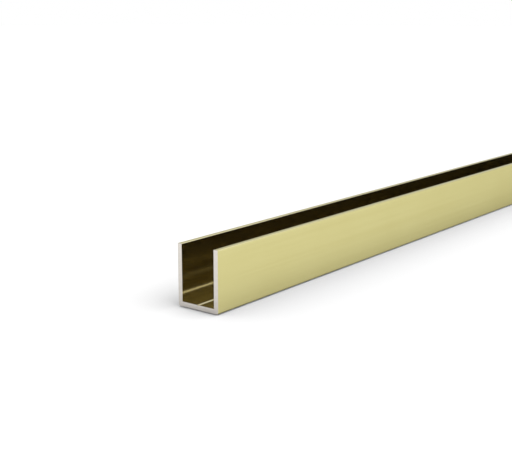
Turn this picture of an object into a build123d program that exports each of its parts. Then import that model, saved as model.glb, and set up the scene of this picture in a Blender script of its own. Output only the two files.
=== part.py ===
"""U-channel of gold anodised aluminium: one extruded stick of glazing and edging stock.

The web lies on the floor and the two flanges stand up from it, so the slot opens upwards.
X runs along the length, Y across the flanges and Z up. The origin is on the underside of the
web, at the middle of the length and of the width.
"""

from build123d import *

import os
from math import radians, tan

# Driving dimensions, in millimetres and degrees
LENGTH = 1000.0  # one stock length
WIDTH = 20.0  # outside, across both flanges
HEIGHT = 25.0  # from the underside of the web to the lips
FLANGE_WALL = 2.0
WEB_WALL = 2.0
HEEL_RADIUS = 1.0  # outer corners, under the web
LIP_RADIUS = 0.2  # both edges of each lip
GUIDE_WIDTH = 1.2  # drill guide groove, across its mouth
GUIDE_ANGLE = 120.0  # between the two flanks of the groove
DEBURR = 0.08  # chamfer round each sawn end

# Sizes that follow from them
SLOT_WIDTH = WIDTH - 2 * FLANGE_WALL
SLOT_DEPTH = HEIGHT - WEB_WALL
GUIDE_DEPTH = GUIDE_WIDTH / 2 / tan(radians(GUIDE_ANGLE / 2))

STANDING = (Align.CENTER, Align.MIN)  # centred across, and standing on the point given


def channel_section():
    """The U on its own plane: x across the flanges, y up from the underside of the web."""
    outside = Rectangle(WIDTH, HEIGHT, align=STANDING)
    slot = Pos(0, WEB_WALL) * Rectangle(SLOT_WIDTH, SLOT_DEPTH, align=STANDING)
    section = outside - slot
    # The corners lie in rows: heels below, then the sharp roots, and the lips on top.
    section = fillet(section.vertices().group_by(Axis.Y)[-1], LIP_RADIUS)
    section = fillet(section.vertices().group_by(Axis.Y)[0], HEEL_RADIUS)
    return section - guide_groove()


def guide_groove():
    """The V that starts a drill on the middle of the web, open towards the slot."""
    mouth = GUIDE_WIDTH / 2
    return Pos(0, WEB_WALL) * Polygon((-mouth, 0), (0, -GUIDE_DEPTH), (mouth, 0), align=None)


def u_channel():
    """The section drawn out to the stock length, sawn square and deburred at both ends."""
    stick = extrude(Plane.YZ * channel_section(), LENGTH / 2, both=True)
    sawn_ends = stick.faces().filter_by(Axis.X)
    return chamfer(sawn_ends.edges(), DEBURR)


os.makedirs("parts", exist_ok=True)
export_step(u_channel(), "parts/u_channel.step")
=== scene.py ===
"""A stick of gold anodised U-channel: the drawn section, the bare sawn ends and the studio round it."""

import math

import bpy
from bpy.props import FloatProperty, FloatVectorProperty, IntProperty, PointerProperty
from mathutils import Matrix, Vector


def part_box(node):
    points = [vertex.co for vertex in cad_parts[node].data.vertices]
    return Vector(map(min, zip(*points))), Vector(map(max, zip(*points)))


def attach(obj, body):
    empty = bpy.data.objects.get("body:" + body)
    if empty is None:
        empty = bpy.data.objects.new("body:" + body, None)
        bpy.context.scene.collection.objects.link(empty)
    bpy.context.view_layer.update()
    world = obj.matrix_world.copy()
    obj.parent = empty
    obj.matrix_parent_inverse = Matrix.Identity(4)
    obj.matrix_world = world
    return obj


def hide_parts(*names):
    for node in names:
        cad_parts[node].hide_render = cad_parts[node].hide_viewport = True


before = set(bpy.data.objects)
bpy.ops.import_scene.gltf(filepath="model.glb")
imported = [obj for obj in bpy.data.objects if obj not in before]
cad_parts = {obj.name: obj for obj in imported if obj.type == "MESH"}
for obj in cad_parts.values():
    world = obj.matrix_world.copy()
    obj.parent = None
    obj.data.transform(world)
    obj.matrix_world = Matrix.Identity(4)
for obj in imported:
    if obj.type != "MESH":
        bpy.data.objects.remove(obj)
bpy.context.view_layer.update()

bl_info = {
    "name": "Gold anodised U-channel",
    "version": (1, 0, 0),
    "blender": (4, 5, 0),
    "location": "3D View > Sidebar > U-channel",
    "description": "Draws a stick of anodised U-channel, saws its ends and sets it in a white studio",
    "category": "Add Mesh",
}

STICK_NODE = "u_channel"
STICK_BODY = "root"
LOWEST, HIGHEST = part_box(STICK_NODE)
OVERALL = HIGHEST - LOWEST
MM = 0.001


class StickSizes(bpy.types.PropertyGroup):
    """What a maker would order or change on the stick."""

    length: FloatProperty(
        name="Length", description="From one sawn end to the other",
        default=OVERALL.x, min=0.01, unit="LENGTH", precision=4)
    width: FloatProperty(
        name="Width", description="Outside, across both flanges",
        default=OVERALL.y, min=0.001, unit="LENGTH", precision=4)
    height: FloatProperty(
        name="Height", description="From the underside of the web to the lips",
        default=OVERALL.z, min=0.001, unit="LENGTH", precision=4)
    flange_wall: FloatProperty(
        name="Flange wall", description="Thickness of each flange",
        default=2.0 * MM, min=0.0, unit="LENGTH", precision=5)
    web_wall: FloatProperty(
        name="Web wall", description="Thickness of the web",
        default=2.0 * MM, min=0.0, unit="LENGTH", precision=5)
    heel_radius: FloatProperty(
        name="Heel radius", description="Rounding of the outer corners, under the web",
        default=1.0 * MM, min=0.0, unit="LENGTH", precision=5)
    lip_radius: FloatProperty(
        name="Lip radius", description="Rounding of both edges of each lip",
        default=0.2 * MM, min=0.0, unit="LENGTH", precision=5)
    guide_width: FloatProperty(
        name="Guide width", description="Mouth of the drill guide groove",
        default=1.2 * MM, min=0.0, unit="LENGTH", precision=5)
    guide_angle: FloatProperty(
        name="Guide angle", description="Angle between the two flanks of the drill guide groove",
        default=math.radians(120.0), subtype="ANGLE", unit="ROTATION")
    deburr: FloatProperty(
        name="Deburr", description="Chamfer filed round each sawn end",
        default=0.08 * MM, min=0.0, unit="LENGTH", precision=5)
    arc_steps: IntProperty(
        name="Arc steps", description="Flats along each rounded corner", default=14, min=1, max=64)
    bays: IntProperty(
        name="Bays", description="Stretches that the length is divided into", default=20, min=1, max=200)


class StickFinish(bpy.types.PropertyGroup):
    """Colours and fine marks of the anodised skin and of the sawn metal."""

    gold: FloatVectorProperty(
        name="Gold", description="Anodised outer skin where it is palest",
        default=(0.66, 0.61, 0.285), size=3, min=0.0, max=1.0, subtype="COLOR")
    deep_gold: FloatVectorProperty(
        name="Deep gold", description="Anodised outer skin along its darkest lines",
        default=(0.62, 0.565, 0.25), size=3, min=0.0, max=1.0, subtype="COLOR")
    lip_gold: FloatVectorProperty(
        name="Lip gold", description="Anodised skin on the lips, which handling rubs paler",
        default=(0.65, 0.61, 0.36), size=3, min=0.0, max=1.0, subtype="COLOR")
    # Partly painted shade: the slot's gold is darker than the outer gold, partly for its unbrushed finish
    # and partly standing in for the shade deep in the slot.
    slot_gold: FloatVectorProperty(
        name="Slot gold and shade", description="Anodised skin in the slot, where no brush brightens it",
        default=(0.57, 0.52, 0.35), size=3, min=0.0, max=1.0, subtype="COLOR")
    grazing_tint: FloatVectorProperty(
        name="Grazing tint", description="Tint of the anodised skin seen along its surface",
        default=(0.63, 0.62, 0.54), size=3, min=0.0, max=1.0, subtype="COLOR")
    brushed_roughness: FloatProperty(
        name="Brushed roughness", description="Outer faces, which are brushed before they are dyed",
        default=0.2, min=0.0, max=1.0, subtype="FACTOR")
    drawn_roughness: FloatProperty(
        name="Drawn roughness", description="Faces of the slot, as smooth as the die leaves them",
        default=0.13, min=0.0, max=1.0, subtype="FACTOR")
    roughness_swing: FloatProperty(
        name="Roughness swing", description="How far the anodised skin's roughness varies either way",
        default=0.02, min=0.0, max=1.0, subtype="FACTOR")
    cloud_size: FloatProperty(
        name="Cloud size", description="Breadth of the soft clouds in the anodised skin",
        default=30 * MM, min=0.00001, unit="LENGTH", precision=4)
    line_width: FloatProperty(
        name="Line width", description="Breadth of the lines that the die leaves",
        default=0.6 * MM, min=0.00001, unit="LENGTH", precision=5)
    line_length: FloatProperty(
        name="Line length", description="Length over which a die line fades in and out",
        default=120 * MM, min=0.001, unit="LENGTH", precision=4)
    line_depth: FloatProperty(
        name="Line depth", description="Depth of the lines that the die leaves",
        default=0.01 * MM, min=0.0, unit="LENGTH", precision=6)
    bare_metal: FloatVectorProperty(
        name="Bare metal", description="Aluminium that the saw has cut",
        default=(0.72, 0.68, 0.63), size=3, min=0.0, max=1.0, subtype="COLOR")
    dull_metal: FloatVectorProperty(
        name="Dull metal", description="Sawn aluminium in the low parts of its marks",
        default=(0.6, 0.565, 0.52), size=3, min=0.0, max=1.0, subtype="COLOR")
    bare_roughness: FloatProperty(
        name="Bare roughness", description="Sawn aluminium on the high parts of its marks",
        default=0.15, min=0.0, max=1.0, subtype="FACTOR")
    dull_roughness: FloatProperty(
        name="Dull roughness", description="Sawn aluminium in the low parts of its marks",
        default=0.3, min=0.0, max=1.0, subtype="FACTOR")
    # Painted shade: these two darken the sawn ends towards their foot, in place of the floor's shadow that
    # the ends reflect; no drag of the blade makes it.
    painted_foot_shade: FloatProperty(
        name="Painted foot shade", description="How much duller a sawn end is at its foot, where the blade drags",
        default=0.13, min=0.0, max=1.0, subtype="FACTOR")
    painted_shade_height: FloatProperty(
        name="Painted shade height", description="Height over which the blade's drag fades out",
        default=22 * MM, min=0.001, unit="LENGTH", precision=4)
    blotch_size: FloatProperty(
        name="Blotch size", description="Breadth of the soft blotches in the sawn aluminium",
        default=2 * MM, min=0.00001, unit="LENGTH", precision=5)
    stroke_pitch: FloatProperty(
        name="Stroke pitch", description="Distance between the marks of the saw",
        default=0.45 * MM, min=0.00001, unit="LENGTH", precision=5)
    stroke_depth: FloatProperty(
        name="Stroke depth", description="Depth of the marks of the saw",
        default=0.02 * MM, min=0.0, unit="LENGTH", precision=6)
    blade_radius: FloatProperty(
        name="Blade radius", description="Radius of the saw blade whose marks cross the ends",
        default=125 * MM, min=0.001, unit="LENGTH", precision=4)


class StudioSettings(bpy.types.PropertyGroup):
    """Camera, light and floor."""

    camera_place: FloatVectorProperty(
        name="Camera place", description="Camera, measured from the middle of the near sawn end's foot",
        default=(-256.18 * MM, -228.30 * MM, 108.49 * MM), size=3, subtype="TRANSLATION", precision=5)
    heading: FloatProperty(
        name="Heading", description="Turn of the view from the stick's length towards its far flange",
        default=math.radians(38.0065), subtype="ANGLE", unit="ROTATION")
    dip: FloatProperty(
        name="Dip", description="Tilt of the view below level",
        default=math.radians(12.5587), subtype="ANGLE", unit="ROTATION")
    focal_pixels: FloatProperty(
        name="Focal length", description="Focal length in pixels of the picture's width",
        default=936.42, min=1.0)
    floor_size: FloatProperty(
        name="Floor size", description="Side of the square floor", default=24.0, min=1.0, unit="LENGTH")
    floor_colour: FloatVectorProperty(
        name="Floor colour", description="Plain pale floor",
        default=(0.92, 0.92, 0.92), size=3, min=0.0, max=1.0, subtype="COLOR")
    floor_gap: FloatProperty(
        name="Floor gap", description="Air under a stick that doesn't lie quite flat",
        default=0.32 * MM, min=0.0, unit="LENGTH", precision=5)
    backdrop_strength: FloatProperty(
        name="Backdrop strength", description="Brightness of the white backdrop", default=1.0, min=0.0)
    horizon_strength: FloatProperty(
        name="Horizon strength", description="Light that the room gives from low down",
        default=1.0, min=0.0)
    zenith_strength: FloatProperty(
        name="Zenith strength", description="Light that the room gives from overhead",
        default=0.75, min=0.0)
    lamp_strength: FloatProperty(
        name="Lamp strength", description="Light of the large soft lamp", default=1.3, min=0.0)
    lamp_breadth: FloatProperty(
        name="Lamp breadth", description="Angle that the soft lamp takes up in the room",
        default=math.radians(70.0), subtype="ANGLE", unit="ROTATION")
    lamp_side: FloatProperty(
        name="Lamp side", description="Turn of the lamp from the stick's length towards its near flange",
        default=math.radians(54.5), subtype="ANGLE", unit="ROTATION")
    lamp_height: FloatProperty(
        name="Lamp height", description="Height of the lamp above level, as an angle",
        default=math.radians(55.0), subtype="ANGLE", unit="ROTATION")


def add_node(tree, kind, inputs=None, **settings):
    """Adds a node, sets its properties, then links or sets each of its inputs."""
    node = tree.nodes.new(kind)
    for name, value in settings.items():
        setattr(node, name, value)
    for key, value in (inputs or {}).items():
        feed(tree, node.inputs[key], value)
    return node


def feed(tree, socket, value):
    """Links the socket to an output, or sets a plain value on it."""
    if isinstance(value, bpy.types.NodeSocket):
        tree.links.new(value, socket)
    else:
        socket.default_value = value


def outcome(tree, kind, inputs=None, **settings):
    """Adds a node of which only the first output is wanted, and returns that output."""
    return add_node(tree, kind, inputs, **settings).outputs[0]


def maths(tree, operation, *values, kind="ShaderNodeMath"):
    """The outcome of one sum on single values."""
    return outcome(tree, kind, dict(enumerate(values)), operation=operation)


def vector_maths(tree, operation, *values):
    """The outcome of one sum on vectors."""
    return maths(tree, operation, *values, kind="ShaderNodeVectorMath")


def scaled(tree, vector, factor):
    """A vector or a colour times a single value."""
    return outcome(tree, "ShaderNodeVectorMath", {0: vector, "Scale": factor}, operation="SCALE")


def joined(tree, x=0.0, y=0.0, z=0.0):
    """A vector made of three values."""
    return outcome(tree, "ShaderNodeCombineXYZ", {"X": x, "Y": y, "Z": z})


def parted(tree, vector):
    """The three values of a vector."""
    return add_node(tree, "ShaderNodeSeparateXYZ", {0: vector}).outputs


def map_range(tree, value, low, high, new_low, new_high, clamp=False):
    """A value moved from one range to another, and held within the new one if clamp is set."""
    limits = {"Value": value, "From Min": low, "From Max": high, "To Min": new_low, "To Max": new_high}
    return add_node(tree, "ShaderNodeMapRange", limits, clamp=clamp).outputs["Result"]


def mixed(tree, data_type, factor, first, second):
    """A colour or a vector between two others."""
    sockets = {"Factor": factor, "A": first, "B": second}
    return add_node(tree, "ShaderNodeMix", sockets, data_type=data_type).outputs["Result"]


def chosen(tree, data_type, index, values):
    """One of the values, picked by its place in the list."""
    switch = add_node(tree, "GeometryNodeIndexSwitch", {"Index": index}, data_type=data_type)
    while len(switch.index_switch_items) < len(values):
        switch.index_switch_items.new()
    for place, value in enumerate(values, start=1):
        feed(tree, switch.inputs[place], value)
    return switch.outputs[0]


def captured(tree, geometry, **fields):
    """Keeps values of a geometry's points for later, and returns the geometry and the kept values."""
    node = add_node(tree, "GeometryNodeCaptureAttribute", {"Geometry": geometry}, domain="POINT")
    for name, field in fields.items():
        node.capture_items.new("VECTOR" if field.type == "VECTOR" else "FLOAT", name)
        feed(tree, node.inputs[name], field)
    return node.outputs["Geometry"], [node.outputs[name] for name in fields]


# The section's corners, of which half run from the bottom of the guide groove out to a heel
HALF_CORNERS = 6
SECTION_CORNERS = 2 * HALF_CORNERS - 1  # both halves share the bottom of the groove

# The path of the sweep, and what is filed at its ends
END_POINTS = 3  # points that begin no bay: where the last bay ends, and at both sawn ends
FILED_SHARE = 0.75  # of the deburr, back from an end: takes in its rim and the filed faces' middles


def size_properties():
    """The properties that describe the stick's sizes."""
    return [prop for prop in StickSizes.bl_rna.properties if prop.type in {"FLOAT", "INT"}]


def stick_inputs(tree):
    """The tree's named inputs, one for each size of the stick and one for each of its two finishes."""
    for prop in size_properties():
        kind = "NodeSocketFloat" if prop.type == "FLOAT" else "NodeSocketInt"
        socket = tree.interface.new_socket(prop.name, in_out="INPUT", socket_type=kind)
        socket.description = prop.description
        socket.default_value = prop.default
    for name in ("Skin", "Sawn metal"):
        tree.interface.new_socket(name, in_out="INPUT", socket_type="NodeSocketMaterial")
    tree.interface.new_socket("Stick", in_out="OUTPUT", socket_type="NodeSocketGeometry")
    return add_node(tree, "NodeGroupInput").outputs


def section_curve(tree, size):
    """The U as one closed line with rounded corners, upside down because the sweep turns it over."""
    half_width = maths(tree, "MULTIPLY", size["Width"], 0.5)
    inner_half = maths(tree, "SUBTRACT", half_width, size["Flange wall"])
    guide_half = maths(tree, "MULTIPLY", size["Guide width"], 0.5)
    flank_angle = maths(tree, "MULTIPLY", size["Guide angle"], 0.5)
    guide_depth = maths(tree, "DIVIDE", guide_half, maths(tree, "TANGENT", flank_angle))
    guide_bottom = maths(tree, "SUBTRACT", size["Web wall"], guide_depth)
    corners = [
        joined(tree, 0.0, guide_bottom),
        joined(tree, guide_half, size["Web wall"]),
        joined(tree, inner_half, size["Web wall"]),
        joined(tree, inner_half, size["Height"]),
        joined(tree, half_width, size["Height"]),
        joined(tree, half_width, 0.0),
    ]
    radii = [0.0, 0.0, 0.0, size["Lip radius"], size["Lip radius"], size["Heel radius"]]

    index = outcome(tree, "GeometryNodeInputIndex")
    steps_out = maths(tree, "SUBTRACT", float(HALF_CORNERS - 1), index)
    corner = maths(tree, "ABSOLUTE", steps_out)
    side = joined(tree, maths(tree, "SIGN", steps_out), 1.0)
    place = vector_maths(tree, "MULTIPLY", chosen(tree, "VECTOR", corner, corners), side)
    turned = scaled(tree, place, -1.0)
    radius = chosen(tree, "FLOAT", corner, radii)

    ring = outcome(tree, "GeometryNodeCurvePrimitiveCircle", {"Resolution": SECTION_CORNERS})
    drawn = outcome(tree, "GeometryNodeSetPosition", {"Geometry": ring, "Position": turned})
    return outcome(
        tree, "GeometryNodeFilletCurve", {"Curve": drawn, "Count": size["Arc steps"], "Radius": radius},
        mode="POLY")


def stick_line(tree, size, half_length):
    """The straight path of the sweep, with points between its bays and on both sides of each deburr."""
    first = maths(tree, "SUBTRACT", size["Deburr"], half_length)
    drawn_length = maths(tree, "MULTIPLY", first, -2.0)
    bay = maths(tree, "DIVIDE", drawn_length, size["Bays"])
    count = maths(tree, "ADD", size["Bays"], float(END_POINTS))
    index = outcome(tree, "GeometryNodeInputIndex")
    along = maths(tree, "MULTIPLY_ADD", maths(tree, "SUBTRACT", index, 1.0), bay, first)
    limits = {"Value": along, "Min": maths(tree, "MULTIPLY", half_length, -1.0), "Max": half_length}
    place = joined(tree, outcome(tree, "ShaderNodeClamp", limits))
    line = outcome(tree, "GeometryNodeCurvePrimitiveLine")
    points = outcome(tree, "GeometryNodeResampleCurve", {"Curve": line, "Count": count})
    return outcome(tree, "GeometryNodeSetPosition", {"Geometry": points, "Position": place})


def stick_tree():
    """The rule that makes the stick: its section, swept along its length, filed, shaded and finished."""
    tree = bpy.data.node_groups.new("Drawn U-channel", "GeometryNodeTree")
    size = stick_inputs(tree)
    half_length = maths(tree, "MULTIPLY", size["Length"], 0.5)

    section, (outward, girth) = captured(
        tree, section_curve(tree, size),
        outward=add_node(tree, "GeometryNodeInputNormal").outputs["Normal"],
        girth=add_node(tree, "GeometryNodeSplineParameter").outputs["Factor"])
    path = stick_line(tree, size, half_length)
    swept = outcome(
        tree, "GeometryNodeCurveToMesh", {"Curve": path, "Profile Curve": section, "Fill Caps": True})

    along = parted(tree, outcome(tree, "GeometryNodeInputPosition"))["X"]
    filed_from = maths(tree, "MULTIPLY_ADD", size["Deburr"], -FILED_SHARE, half_length)
    at_end = maths(tree, "GREATER_THAN", maths(tree, "ABSOLUTE", along), filed_from)

    section_way = parted(tree, outward)
    inset = scaled(tree, joined(tree, 0.0, section_way["X"], section_way["Y"]), size["Deburr"])
    stick = outcome(
        tree, "GeometryNodeSetPosition", {"Geometry": swept, "Selection": at_end, "Offset": inset})

    stick = add_bake_map(tree, stick, size, along, girth, at_end, half_length)
    stick = add_shading(tree, stick, size)
    stick = outcome(tree, "GeometryNodeRealizeInstances", {"Geometry": stick})
    stick = outcome(tree, "GeometryNodeSetMaterial", {"Geometry": stick, "Material": size["Skin"]})
    stick = outcome(
        tree, "GeometryNodeSetMaterial",
        {"Geometry": stick, "Selection": at_end, "Material": size["Sawn metal"]})
    add_node(tree, "NodeGroupOutput", {"Stick": stick})
    return tree


# Layout of the flat map: the unrolled skin below, and both sawn ends side by side above it
MAP_NAME = "OFBake"
SKIN_SHARE = 0.72
ENDS_FROM = 0.74
END_HEIGHT = 0.25
END_WIDTH = 0.48
END_MARGIN = 0.01
MAP_MARGIN = 0.002

# Girth runs from nought to one round the section, whose last face closes on the first point again
FIRST_POINT = 1e-6  # girth below which a point is the first one
CLOSING_FACE = 0.25  # mean girth between the first face's, near nought, and the last one's, near a half


def add_bake_map(tree, stick, size, along, girth, at_end, half_length):
    """A flat map that unrolls the skin in one sheet and lays the sawn ends out beside it."""
    mean_girth = outcome(tree, "GeometryNodeFieldOnDomain", {"Value": girth}, domain="FACE")
    is_first = maths(tree, "LESS_THAN", girth, FIRST_POINT)
    on_last_face = maths(tree, "GREATER_THAN", mean_girth, CLOSING_FACE)
    closed_girth = maths(tree, "MAXIMUM", girth, maths(tree, "MULTIPLY", is_first, on_last_face))
    skin_u = map_range(tree, along, maths(tree, "MULTIPLY", half_length, -1.0), half_length,
                       MAP_MARGIN, 1.0 - MAP_MARGIN)
    skin_v = map_range(tree, closed_girth, 0.0, 1.0, MAP_MARGIN, SKIN_SHARE)

    place = parted(tree, outcome(tree, "GeometryNodeInputPosition"))
    half_width = maths(tree, "MULTIPLY", size["Width"], 0.5)
    end_u = map_range(tree, place["Y"], maths(tree, "MULTIPLY", half_width, -1.0), half_width,
                      END_MARGIN, END_MARGIN + END_WIDTH)
    is_far = maths(tree, "GREATER_THAN", along, 0.0)
    end_u = maths(tree, "MULTIPLY_ADD", is_far, END_WIDTH + END_MARGIN, end_u)
    end_v = map_range(tree, place["Z"], 0.0, size["Height"], ENDS_FROM, ENDS_FROM + END_HEIGHT)

    on_end_face = outcome(tree, "GeometryNodeFieldOnDomain", {"Value": at_end}, domain="FACE")
    flat = mixed(tree, "VECTOR", on_end_face, joined(tree, skin_u, skin_v), joined(tree, end_u, end_v))
    return outcome(
        tree, "GeometryNodeStoreNamedAttribute", {"Geometry": stick, "Name": MAP_NAME, "Value": flat},
        data_type="FLOAT2", domain="CORNER")


SHARP_ANGLE = math.radians(30.0)
NARROW_SHARE = 0.25  # of the heel's radius: a bay's face narrower than that is a flat of a rounded corner


def add_shading(tree, stick, size):
    """Broad faces stay flat, rounded corners run smooth, and hard edges stay sharp."""
    bay = maths(tree, "DIVIDE", size["Length"], size["Bays"])
    narrow_width = maths(tree, "MULTIPLY", size["Heel radius"], NARROW_SHARE)
    area = outcome(tree, "GeometryNodeInputMeshFaceArea")
    narrow = maths(tree, "LESS_THAN", area, maths(tree, "MULTIPLY", bay, narrow_width))
    rounded = outcome(
        tree, "GeometryNodeSetShadeSmooth", {"Geometry": stick, "Shade Smooth": narrow}, domain="FACE")
    angle = add_node(tree, "GeometryNodeInputMeshEdgeAngle").outputs["Unsigned Angle"]
    gentle = maths(tree, "LESS_THAN", angle, SHARP_ANGLE)
    return outcome(
        tree, "GeometryNodeSetShadeSmooth", {"Geometry": rounded, "Shade Smooth": gentle}, domain="EDGE")


# How the finishes' noises are used
USUAL_NOISE = (0.3, 0.7)  # most of one noise lies between these
USUAL_MEAN = (0.35, 0.65)  # most of the mean of two noises lies between these
BROAD_LINES = (0.4, 0.2, 0.2)  # closeness of the broad die lines, as shares of the fine ones'
LINE_SHARE = 0.6  # of the die lines in the skin's tone, whose clouds make up the rest
LINE_RELIEF = 0.15  # strength with which the die lines bend the light
HUB_WAY = (0.0, -0.55, -0.8)  # from the stick to the hub of the saw blade, in blade radii
WAVER_CLOSENESS = 260.0  # wavers of a saw mark, per metre
WAVER_REACH = 1.5  # how far a saw mark wavers, in pitches
STROKE_SHARE = 0.7  # of the saw's marks in the sawn metal's tone, whose blotches make up the rest
STROKE_RELIEF = 0.3  # strength with which the saw's marks bend the light


def new_material(name):
    """An empty material with its output, and the output's surface socket."""
    material = bpy.data.materials.new(name)
    material.use_nodes = True
    material.node_tree.nodes.clear()
    output = add_node(material.node_tree, "ShaderNodeOutputMaterial")
    return material, material.node_tree, output.inputs["Surface"]


def place_on_piece(tree):
    """A point's own place on the piece."""
    return add_node(tree, "ShaderNodeTexCoord").outputs["Object"]


def noise(tree, place, detail, roughness, scale=1.0):
    """A soft noise with finer noise in it."""
    sockets = {"Vector": place, "Scale": scale, "Detail": detail, "Roughness": roughness}
    return outcome(tree, "ShaderNodeTexNoise", sockets)


def spread(tree, value, usual):
    """A noise stretched until its usual values reach from nought to one."""
    low, high = usual
    return map_range(tree, value, low, high, 0.0, 1.0)


def by_shares(tree, share, first, second):
    """A share of the first value and the rest of the second."""
    first_part = maths(tree, "MULTIPLY", first, share)
    second_part = maths(tree, "MULTIPLY", second, 1.0 - share)
    return maths(tree, "ADD", first_part, second_part)


def relief(tree, height, strength, depth):
    """The normal of a surface with that height on it."""
    sockets = {"Strength": strength, "Distance": depth, "Height": height}
    return outcome(tree, "ShaderNodeBump", sockets)


def opaque(colour):
    """A colour as a colour socket takes it."""
    return (*colour, 1.0)


def new_group(name, sizes, outputs):
    """A shader node group that takes a place and sizes and puts out values, and its tree's own ends."""
    group = bpy.data.node_groups.new(name, "ShaderNodeTree")
    group.interface.new_socket("Place", in_out="INPUT", socket_type="NodeSocketVector")
    for socket in sizes:
        group.interface.new_socket(socket, in_out="INPUT", socket_type="NodeSocketFloat")
    for socket in outputs:
        group.interface.new_socket(socket, in_out="OUTPUT", socket_type="NodeSocketFloat")
    return group, add_node(group, "NodeGroupInput").outputs, add_node(group, "NodeGroupOutput").inputs


def grouped(tree, group, inputs):
    """What a group puts out, placed in a tree with its own values."""
    return add_node(tree, "ShaderNodeGroup", inputs, node_tree=group).outputs


def uneven_group():
    """Soft uneven tone, the same in all directions."""
    group, given, result = new_group("Uneven tone", ["Patch size"], ["Tone"])
    closeness = maths(group, "DIVIDE", 1.0, given["Patch size"])
    patches = noise(group, given["Place"], detail=3.0, roughness=0.55, scale=closeness)
    feed(group, result["Tone"], spread(group, patches, USUAL_NOISE))
    return group


def drawn_lines_group():
    """Lines along the length, as a die leaves them: broad tone and fine height."""
    group, given, result = new_group("Drawn lines", ["Line width", "Line length"], ["Tone", "Height"])
    across = maths(group, "DIVIDE", 1.0, given["Line width"])
    along = maths(group, "DIVIDE", 1.0, given["Line length"])
    stretched = vector_maths(group, "MULTIPLY", given["Place"], joined(group, along, across, across))
    fine = noise(group, stretched, detail=4.0, roughness=0.6)
    broader = vector_maths(group, "MULTIPLY", stretched, BROAD_LINES)
    broad = noise(group, broader, detail=2.0, roughness=0.5)
    feed(group, result["Tone"], spread(group, by_shares(group, 0.5, fine, broad), USUAL_MEAN))
    feed(group, result["Height"], fine)
    return group


def saw_strokes_group():
    """Arcs that a round blade leaves across a sawn face."""
    group, given, result = new_group("Saw strokes", ["Blade radius", "Stroke pitch"], ["Height"])
    hub = scaled(group, HUB_WAY, given["Blade radius"])
    flat = vector_maths(group, "MULTIPLY", given["Place"], (0.0, 1.0, 1.0))
    reach = add_node(group, "ShaderNodeVectorMath", {0: flat, 1: hub}, operation="DISTANCE")
    turns = maths(group, "DIVIDE", reach.outputs["Value"], given["Stroke pitch"])
    waver = noise(group, given["Place"], detail=3.0, roughness=0.6, scale=WAVER_CLOSENESS)
    row = joined(group, maths(group, "MULTIPLY_ADD", waver, WAVER_REACH, turns))
    strokes = noise(group, row, detail=3.0, roughness=0.65)
    feed(group, result["Height"], spread(group, strokes, USUAL_NOISE))
    return group


def slot_mask(tree, place, sizes):
    """One on the faces of the slot, and nought on the lips and the outer faces."""
    at = parted(tree, place)
    from_middle = maths(tree, "ABSOLUTE", at["Y"])
    half_slot = sizes.width / 2 - sizes.flange_wall
    within_flanges = maths(tree, "LESS_THAN", from_middle, half_slot + sizes.lip_radius / 2)
    above_web = maths(tree, "GREATER_THAN", at["Z"], sizes.web_wall / 2)
    return maths(tree, "MULTIPLY", within_flanges, above_web)


def lip_mask(tree, place, sizes):
    """One on the lips, fading to nought just below their rounded edges."""
    fades_from = sizes.height - sizes.lip_radius / 2
    fades_to = sizes.height - 2 * sizes.lip_radius
    return map_range(tree, parted(tree, place)["Z"], fades_to, fades_from, 0.0, 1.0, clamp=True)


def anodised_skin(finish, sizes, uneven, drawn_lines):
    """Satin gold: a dyed oxide skin over aluminium that is brushed outside the slot, and darker in the
    slot, partly for its unbrushed finish and partly as painted shade.
    """
    material, tree, surface = new_material("Gold anodised skin")
    place = place_on_piece(tree)
    lines = grouped(tree, drawn_lines, {
        "Place": place, "Line width": finish.line_width, "Line length": finish.line_length})
    clouds = grouped(tree, uneven, {"Place": place, "Patch size": finish.cloud_size})
    tone = by_shares(tree, LINE_SHARE, lines["Tone"], clouds["Tone"])
    in_slot = slot_mask(tree, place, sizes)

    brushed = mixed(tree, "RGBA", tone, opaque(finish.deep_gold), opaque(finish.gold))
    outer = mixed(tree, "RGBA", lip_mask(tree, place, sizes), brushed, opaque(finish.lip_gold))
    mean_roughness = map_range(tree, in_slot, 0.0, 1.0, finish.brushed_roughness, finish.drawn_roughness)
    swing = map_range(tree, tone, 0.0, 1.0, finish.roughness_swing, -finish.roughness_swing)
    shader = outcome(tree, "ShaderNodeBsdfPrincipled", {
        # Darker gold in the slot: partly the unbrushed skin, partly painted shade of the deep slot.
        "Base Color": mixed(tree, "RGBA", in_slot, outer, opaque(finish.slot_gold)),
        "Metallic": 1.0,
        "Specular Tint": opaque(finish.grazing_tint),
        "Roughness": maths(tree, "ADD", mean_roughness, swing),
        "Normal": relief(tree, lines["Height"], LINE_RELIEF, finish.line_depth),
    })
    feed(tree, surface, shader)
    return material


def sawn_metal(finish, uneven, saw_strokes):
    """Bare aluminium with the arcs of the blade across it, painted darker towards the foot as painted
    shade.
    """
    material, tree, surface = new_material("Sawn aluminium")
    place = place_on_piece(tree)
    strokes = grouped(tree, saw_strokes, {
        "Place": place, "Blade radius": finish.blade_radius, "Stroke pitch": finish.stroke_pitch})
    blotches = grouped(tree, uneven, {"Place": place, "Patch size": finish.blotch_size})
    tone = by_shares(tree, STROKE_SHARE, strokes["Height"], blotches["Tone"])

    cut = mixed(tree, "RGBA", tone, opaque(finish.dull_metal), opaque(finish.bare_metal))
    # Painted shade: the sawn metal's colour is darkened towards the foot, where the floor's shadow would be
    # reflected.
    painted_foot_shading = map_range(tree, parted(tree, place)["Z"], 0.0, finish.painted_shade_height,
                        1.0 - finish.painted_foot_shade, 1.0, clamp=True)
    shader = outcome(tree, "ShaderNodeBsdfPrincipled", {
        "Base Color": scaled(tree, cut, painted_foot_shading),
        "Metallic": 1.0,
        "Roughness": map_range(tree, tone, 0.0, 1.0, finish.dull_roughness, finish.bare_roughness),
        "Normal": relief(tree, strokes["Height"], STROKE_RELIEF, finish.stroke_depth),
    })
    feed(tree, surface, shader)
    return material


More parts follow.
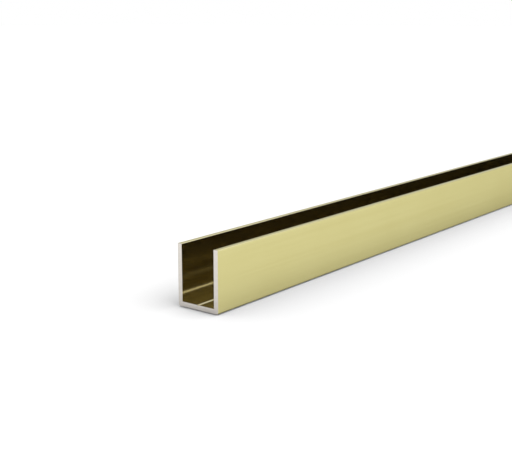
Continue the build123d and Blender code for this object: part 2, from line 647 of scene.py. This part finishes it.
def plain_floor(studio):
    """Matt white paper."""
    material, tree, surface = new_material("White floor")
    shader = outcome(tree, "ShaderNodeBsdfDiffuse", {"Color": opaque(studio.floor_colour)})
    feed(tree, surface, shader)
    return material


def linked_object(name, data):
    """An object of that name in the scene."""
    made = bpy.data.objects.new(name, data)
    bpy.context.scene.collection.objects.link(made)
    return made


def as_plain_mesh(carrier, name):
    """A plain mesh object of what a carrier's modifiers make. The carrier itself is removed."""
    view = bpy.context.evaluated_depsgraph_get()
    mesh = bpy.data.meshes.new_from_object(carrier.evaluated_get(view))
    mesh.name = name
    bpy.data.objects.remove(carrier)
    return linked_object(name, mesh)


class DrawStick(bpy.types.Operator):
    """Draw the channel's section along its length, file its sawn ends and finish it"""

    bl_idname = "u_channel.draw_stick"
    bl_label = "Draw the stick"

    def execute(self, context):
        sizes = context.scene.stick_sizes
        finish = context.scene.stick_finish
        uneven = uneven_group()
        values = {prop.name: getattr(sizes, prop.identifier) for prop in size_properties()}
        values["Skin"] = anodised_skin(finish, sizes, uneven, drawn_lines_group())
        values["Sawn metal"] = sawn_metal(finish, uneven, saw_strokes_group())
        carrier = linked_object("Stick carrier", bpy.data.meshes.new("Stick carrier"))
        rule = carrier.modifiers.new("Drawn U-channel", "NODES")
        rule.node_group = stick_tree()
        for socket in rule.node_group.interface.items_tree:
            if socket.in_out == "INPUT":
                rule[socket.identifier] = values[socket.name]
        stick = as_plain_mesh(carrier, "gold_u_channel")
        if not stick.data.polygons:
            raise RuntimeError("the stick came out empty")
        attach(stick, STICK_BODY)
        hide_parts(STICK_NODE)
        return {"FINISHED"}


IMAGE_WIDTH = 512  # pixels, of a picture that is 456 high
NEAREST_SEEN = 10 * MM
BOUNCES = 32  # of light, which has to find its way out of the slot
WHITE = (1.0, 1.0, 1.0, 1.0)


def lay_floor(studio):
    """A wide square, a hair below the stick's underside."""
    reach = studio.floor_size / 2
    level = LOWEST.z - studio.floor_gap
    mesh = bpy.data.meshes.new("Floor")
    ways_out = ((-1, -1), (1, -1), (1, 1), (-1, 1))
    mesh.from_pydata([(x * reach, y * reach, level) for x, y in ways_out], [], [(0, 1, 2, 3)])
    mesh.materials.append(plain_floor(studio))
    linked_object("Floor", mesh)


def light_room(scene, studio):
    """A white backdrop in sight, and a room that gives more light from low down than from overhead."""
    world = bpy.data.worlds.new("White room")
    world.use_nodes = True
    tree = world.node_tree
    tree.nodes.clear()
    upward = parted(tree, add_node(tree, "ShaderNodeTexCoord").outputs["Generated"])["Z"]
    overhead = maths(tree, "MULTIPLY", upward, upward)
    strength = map_range(tree, overhead, 0.0, 1.0, studio.horizon_strength, studio.zenith_strength)
    room = outcome(tree, "ShaderNodeBackground", {"Color": WHITE, "Strength": strength})
    backdrop = outcome(tree, "ShaderNodeBackground", {"Color": WHITE, "Strength": studio.backdrop_strength})
    in_sight = add_node(tree, "ShaderNodeLightPath").outputs["Is Camera Ray"]
    light = outcome(tree, "ShaderNodeMixShader", {"Fac": in_sight, 1: room, 2: backdrop})
    add_node(tree, "ShaderNodeOutputWorld", {"Surface": light})
    scene.world = world


def hang_lamp(studio):
    """A broad soft lamp, high up to one side."""
    lamp = bpy.data.lights.new("Soft lamp", "SUN")
    lamp.energy = studio.lamp_strength
    lamp.angle = studio.lamp_breadth
    turn = Matrix.Rotation(-studio.lamp_side, 4, "Z")
    tilt = Matrix.Rotation(math.pi / 2 - studio.lamp_height, 4, "Y")
    linked_object("Soft lamp", lamp).matrix_world = turn @ tilt


def aim_camera(scene, studio):
    """A camera at the near sawn end, looking along the stick."""
    camera = bpy.data.cameras.new("Camera")
    camera.lens = studio.focal_pixels / IMAGE_WIDTH * camera.sensor_width
    camera.clip_start = NEAREST_SEEN
    near_end_foot = Vector((LOWEST.x, 0.0, LOWEST.z))
    place = Matrix.Translation(near_end_foot + Vector(studio.camera_place))
    level = math.cos(studio.dip)
    along = math.cos(studio.heading) * level
    across = math.sin(studio.heading) * level
    aim = Vector((along, across, -math.sin(studio.dip)))
    held = linked_object("Camera", camera)
    held.matrix_world = place @ aim.to_track_quat("-Z", "Y").to_matrix().to_4x4()
    scene.camera = held


def set_picture(scene):
    """Plain colours, light that bounces as often as the slot needs, and no glints thrown on the floor."""
    scene.view_settings.view_transform = "Standard"
    scene.cycles.max_bounces = BOUNCES
    scene.cycles.glossy_bounces = BOUNCES
    scene.cycles.caustics_reflective = False


class SetStudio(bpy.types.Operator):
    """Lay the floor, light the room and aim the camera"""

    bl_idname = "u_channel.set_studio"
    bl_label = "Set the studio"

    def execute(self, context):
        studio = context.scene.studio
        lay_floor(studio)
        light_room(context.scene, studio)
        hang_lamp(studio)
        aim_camera(context.scene, studio)
        set_picture(context.scene)
        return {"FINISHED"}


SETTINGS = {"stick_sizes": StickSizes, "stick_finish": StickFinish, "studio": StudioSettings}
STEPS = (DrawStick, SetStudio)


class StickPanel(bpy.types.Panel):
    """Sizes, finishes and steps in the sidebar"""

    bl_idname = "VIEW3D_PT_u_channel"
    bl_label = "U-channel"
    bl_space_type = "VIEW_3D"
    bl_region_type = "UI"
    bl_category = "U-channel"

    def draw(self, context):
        for name, group in SETTINGS.items():
            column = self.layout.column(align=True)
            for key in group.__annotations__:
                column.prop(getattr(context.scene, name), key)
        for step in STEPS:
            self.layout.operator(step.bl_idname)


CLASSES = (*SETTINGS.values(), *STEPS, StickPanel)


def register():
    """Gives Blender the classes, and its scenes the settings."""
    for made in CLASSES:
        bpy.utils.register_class(made)
    for name, group in SETTINGS.items():
        setattr(bpy.types.Scene, name, PointerProperty(type=group))


def unregister():
    """Takes the settings and the classes out again."""
    for name in SETTINGS:
        delattr(bpy.types.Scene, name)
    for made in reversed(CLASSES):
        bpy.utils.unregister_class(made)


def main():
    """Makes the stick and its studio."""
    register()
    bpy.ops.u_channel.draw_stick()
    bpy.ops.u_channel.set_studio()


if __name__ == "__main__":
    main()
